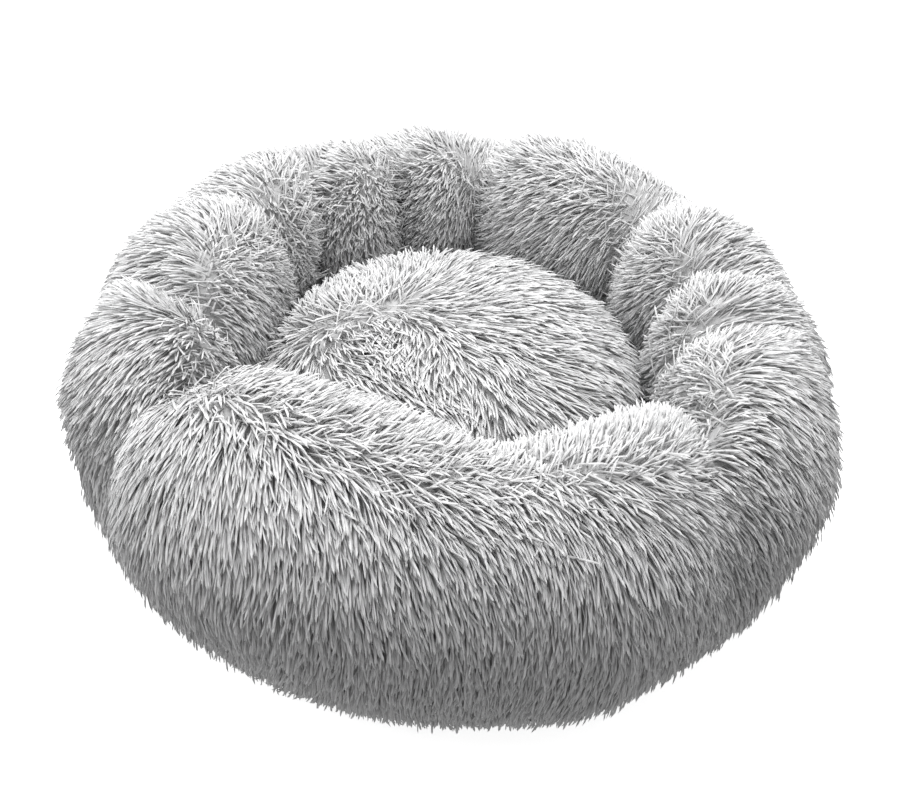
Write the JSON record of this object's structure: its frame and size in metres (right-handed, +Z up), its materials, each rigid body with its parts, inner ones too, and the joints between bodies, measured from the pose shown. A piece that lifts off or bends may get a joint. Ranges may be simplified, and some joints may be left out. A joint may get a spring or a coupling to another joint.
{
  "type": "pet cushion bed",
  "caption": "Round shaggy faux-fur pet bed: a gathered ring bolster on a flat non-slip base, with a loose crowned fur cushion in the well and a zip underneath",
  "frame": {"origin": "on the floor under the middle of the bed", "axes": "+Z up, +X to the right seen from the front, +Y to the back; millimetres in the source, metres in the row"},
  "size_m": [0.5999, 0.6, 0.206],
  "materials": {
    "pile": "long shaggy pile",
    "nonwoven": "matte non-woven",
    "lining_cloth": "plain weave",
    "fibre": "loose polyester fibre",
    "tape": "woven tape",
    "base_cloth": "woven, matte",
    "grip": "printed PVC dots",
    "nylon": "nylon coil",
    "zip_metal": "plated"
  },
  "bodies": {
    "bed": {"bolster_cover": "pile", "bolster_liner": "nonwoven", "bolster_filling": "fibre", "gather_bands": "tape", "base_binding": "tape", "base_panel": "base_cloth", "grip_dots": "grip", "base_wadding": "fibre", "floor_lining": "lining_cloth", "zip_tape_left": "tape", "zip_tape_right": "tape", "zip_coil_left": "nylon", "zip_coil_right": "nylon", "zip_stops": "zip_metal"},
    "cushion": {"cushion_cover": "pile", "cushion_underside": "lining_cloth", "cushion_filling": "fibre"},
    "slider": {"zip_slider": "zip_metal"}
  },
  "joints": [
    {"name": "cushion_lift", "type": "slide", "parent": "bed", "child": "cushion", "axis": [0, 0, 1], "range_m": [0, 0.25]},
    {"name": "zip_slide", "type": "slide", "parent": "bed", "child": "slider", "axis": [-1, 0, 0], "range_m": [0, 0.291]}
  ]
}
